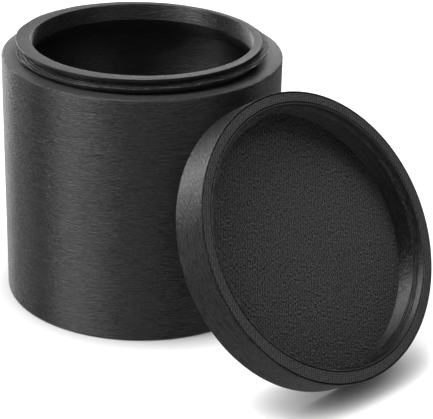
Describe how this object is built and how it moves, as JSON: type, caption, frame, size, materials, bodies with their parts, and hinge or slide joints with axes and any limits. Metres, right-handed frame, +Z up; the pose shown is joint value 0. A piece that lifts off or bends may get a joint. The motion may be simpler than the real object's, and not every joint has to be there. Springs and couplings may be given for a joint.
{
  "type": "film developing tank",
  "caption": "Cylindrical screw-neck developing pot with a shallow screw lid leaning on it and a spiral film reel on a centre column inside.",
  "frame": {"origin": "centre of the pot's flat base", "axes": "+Z up along the pot's axis, -Y towards the viewer, the lid leans on the side between +X and -Y"},
  "size_m": [0.1511, 0.1551, 0.0952],
  "materials": {
    "printed_black": "matte black layer-printed plastic with fine print lines",
    "moulded_black": "satin black plastic",
    "reel_black": "satin black printed plastic",
    "clip_black": "springy black plastic",
    "ball_steel": "polished steel"
  },
  "bodies": {
    "pot": {"tank_body": "printed_black"},
    "screw_lid": {"lid": "printed_black"},
    "column": {"center_column": "moulded_black", "column_knob": "moulded_black"},
    "clip": {"reel_clip": "clip_black"},
    "reel_lower": {"reel_lower_flange": "reel_black"},
    "reel_upper": {"reel_upper_flange": "reel_black"},
    "ball_lower": {"grip_ball_lower": "ball_steel"},
    "ball_upper": {"grip_ball_upper": "ball_steel"}
  },
  "joints": [
    {"name": "lid_tip", "type": "hinge", "parent": "pot", "child": "screw_lid", "pos_m": [0.07074, -0.07802, 0], "axis": [0.7408, 0.6717, 0], "range_deg": [0, 33.3]},
    {"name": "column_lift", "type": "slide", "parent": "pot", "child": "column", "axis": [0, 0, 1], "range_m": [0, 0.1]},
    {"name": "clip_slide", "type": "slide", "parent": "column", "child": "clip", "axis": [0, 0, 1], "range_m": [0, 0.019]},
    {"name": "reel_spin", "type": "hinge", "parent": "column", "child": "reel_lower", "pos_m": [0, 0, 0.0078], "axis": [0, 0, 1], "continuous": true},
    {"name": "upper_flange_twist", "type": "hinge", "parent": "reel_lower", "child": "reel_upper", "pos_m": [0, 0, 0.0456], "axis": [0, 0, 1], "range_deg": [-16.5, 16.5]},
    {"name": "lower_ball_travel", "type": "slide", "parent": "reel_lower", "child": "ball_lower", "axis": [-0.2079, 0.9781, 0], "range_m": [-0.0006, 0.0006]},
    {"name": "upper_ball_travel", "type": "slide", "parent": "reel_upper", "child": "ball_upper", "axis": [-0.2079, 0.9781, 0], "range_m": [-0.0006, 0.0006]}
  ]
}
